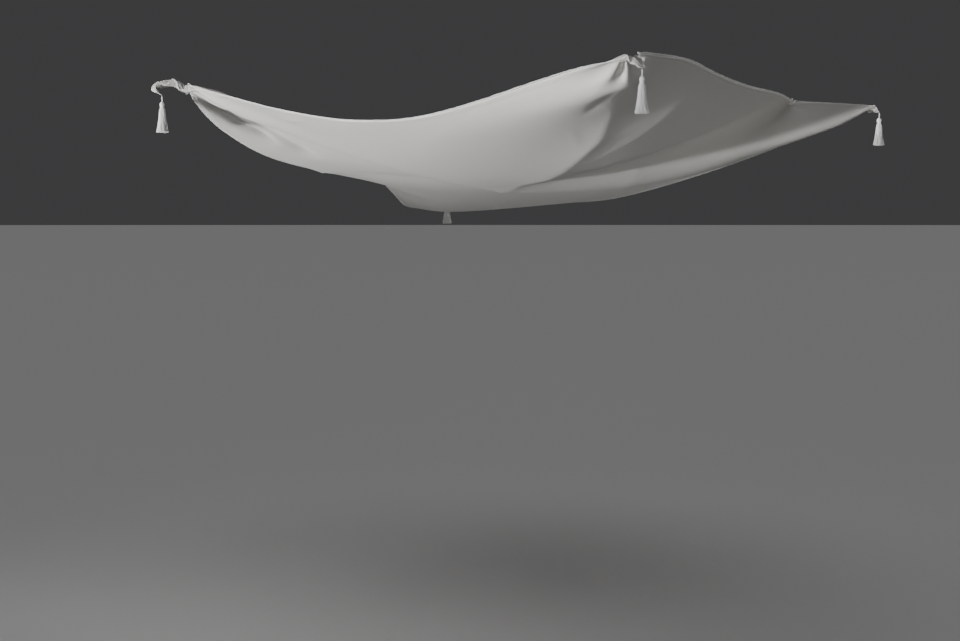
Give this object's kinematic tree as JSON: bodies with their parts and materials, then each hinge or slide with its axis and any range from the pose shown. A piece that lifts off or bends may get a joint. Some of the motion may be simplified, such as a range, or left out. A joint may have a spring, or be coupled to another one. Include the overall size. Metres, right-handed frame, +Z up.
{
  "type": "hand-held ceremonial cloth canopy",
  "caption": "Square white cloth held up by its gathered corners and edges as a canopy, with a narrow crocheted edging and a tassel at each corner.",
  "frame": {"origin": "the hold in the gathered front left corner, where a hand grips the bunched cloth", "axes": "+X along the front edge, +Y from the front edge to the back edge, +Z up"},
  "size_m": [1.5597, 1.3998, 0.3823],
  "materials": {
    "cloth": "plain woven, slightly sheer, soft sheen",
    "edging": "crocheted cotton thread, matt",
    "tassel": "twisted rayon thread, soft shine"
  },
  "bodies": {
    "canopy": {"canopy_cloth": "cloth", "edging_front": "edging", "edging_right": "edging", "edging_back": "edging", "edging_left": "edging"},
    "tassel_front_left": {"tassel_cord_front_left": "tassel", "tassel_head_front_left": "tassel", "tassel_binding_front_left": "tassel", "tassel_skirt_front_left": "tassel"},
    "tassel_front_right": {"tassel_cord_front_right": "tassel", "tassel_head_front_right": "tassel", "tassel_binding_front_right": "tassel", "tassel_skirt_front_right": "tassel"},
    "tassel_back_right": {"tassel_cord_back_right": "tassel", "tassel_head_back_right": "tassel", "tassel_binding_back_right": "tassel", "tassel_skirt_back_right": "tassel"},
    "tassel_back_left": {"tassel_cord_back_left": "tassel", "tassel_head_back_left": "tassel", "tassel_binding_back_left": "tassel", "tassel_skirt_back_left": "tassel"}
  },
  "joints": [
    {"name": "tassel_swing_front_left", "type": "hinge", "parent": "canopy", "child": "tassel_front_left", "pos_m": [-0.00436, -0.0043, -0.01348], "axis": [0.7071, 0.7071, 0], "range_deg": [-40, 40]},
    {"name": "tassel_swing_front_right", "type": "hinge", "parent": "canopy", "child": "tassel_front_right", "pos_m": [1.33516, 0.04492, -0.01572], "axis": [-0.8533, 0.5214, 0], "range_deg": [-40, 40]},
    {"name": "tassel_swing_back_right", "type": "hinge", "parent": "canopy", "child": "tassel_back_right", "pos_m": [1.51652, 1.35674, -0.02364], "axis": [-0.7071, -0.7071, 0], "range_deg": [-40, 40]},
    {"name": "tassel_swing_back_left", "type": "hinge", "parent": "canopy", "child": "tassel_back_left", "pos_m": [0.0606, 1.30456, -0.2526], "axis": [0.7071, -0.7071, 0], "range_deg": [-40, 40]}
  ]
}
